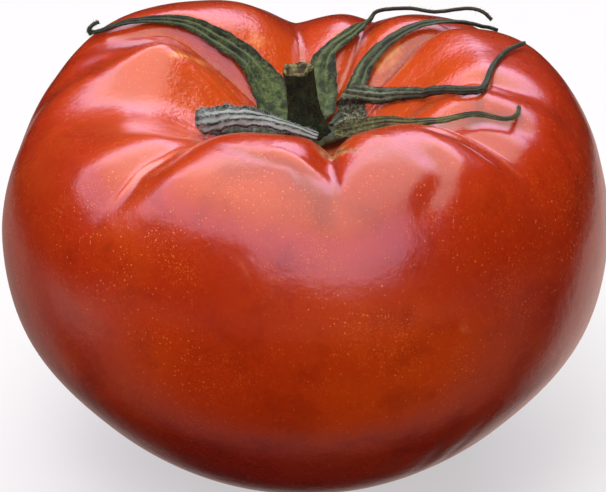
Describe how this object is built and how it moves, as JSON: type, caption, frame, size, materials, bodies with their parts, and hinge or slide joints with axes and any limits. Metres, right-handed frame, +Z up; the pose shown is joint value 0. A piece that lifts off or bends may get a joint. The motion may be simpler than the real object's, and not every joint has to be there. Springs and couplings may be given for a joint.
{
  "type": "tomato",
  "caption": "Ripe red beefsteak tomato, ribbed and lobed around a deep stem pit, with a short stalk stub and dried, twisted green sepals, resting on a small flat spot.",
  "frame": {"origin": "centre of the flat spot the fruit rests on", "axes": "+Z up along the axis of the fruit, from the flat spot to the stem pit; -Y is the side turned to the viewer"},
  "size_m": [0.0955, 0.0952, 0.0703],
  "materials": {
    "fruit_skin": "gloss",
    "stalk_bark": "matte",
    "calyx_green": "matte",
    "sepal_leaf": "matte",
    "sepal_dry": "matte",
    "sepal_woolly": "matte"
  },
  "bodies": {
    "root": {"fruit": "fruit_skin", "stem": "stalk_bark", "calyx_disc": "calyx_green", "sepal_back_left": "sepal_leaf", "sepal_back": "sepal_leaf", "sepal_back_right": "sepal_leaf", "sepal_right": "sepal_dry", "sepal_front_right": "sepal_dry", "sepal_front_left": "sepal_woolly"}
  },
  "joints": []
}
